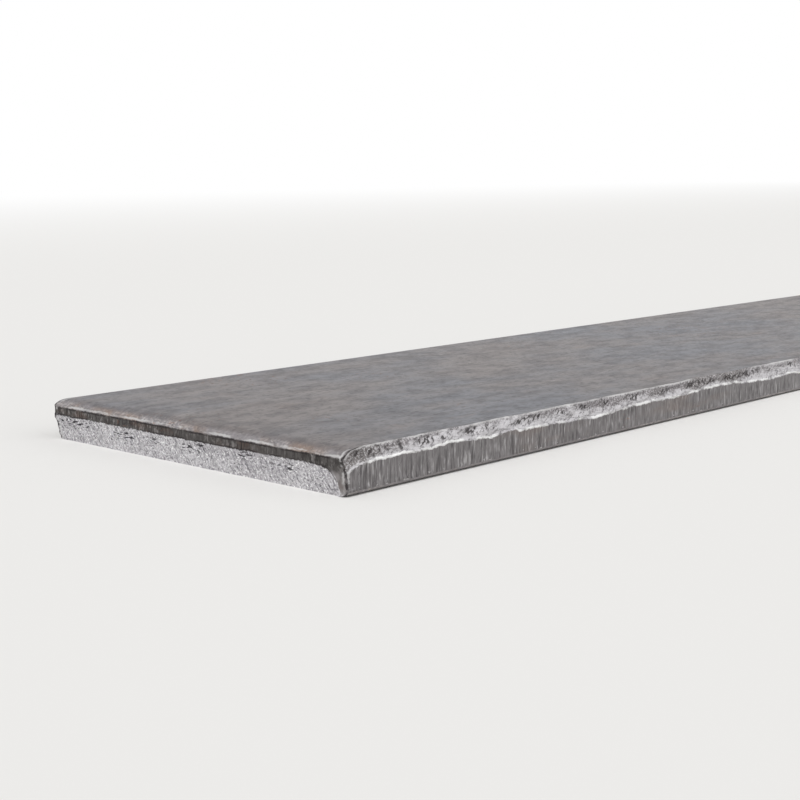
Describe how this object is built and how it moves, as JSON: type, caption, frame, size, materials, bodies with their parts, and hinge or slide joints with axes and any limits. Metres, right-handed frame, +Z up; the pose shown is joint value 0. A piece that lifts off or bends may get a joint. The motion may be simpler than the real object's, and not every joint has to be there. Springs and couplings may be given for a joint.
{
  "type": "steel flat bar",
  "caption": "Long flat bar of hot-rolled steel stock, sheared along both edges and at both ends, lying on a wide face.",
  "frame": {"origin": "middle of the wide face that the bar rests on", "axes": "+X along the length, away from the end that shows in the picture, Y across the width with the visible long edge at -Y, +Z up through the thickness"},
  "size_m": [3, 0.1, 0.01],
  "materials": {
    "steel": "hot-rolled mill scale on the wide faces, bare sheared steel along the edges and at the ends"
  },
  "bodies": {
    "root": {"flat_bar": "steel"}
  },
  "joints": []
}
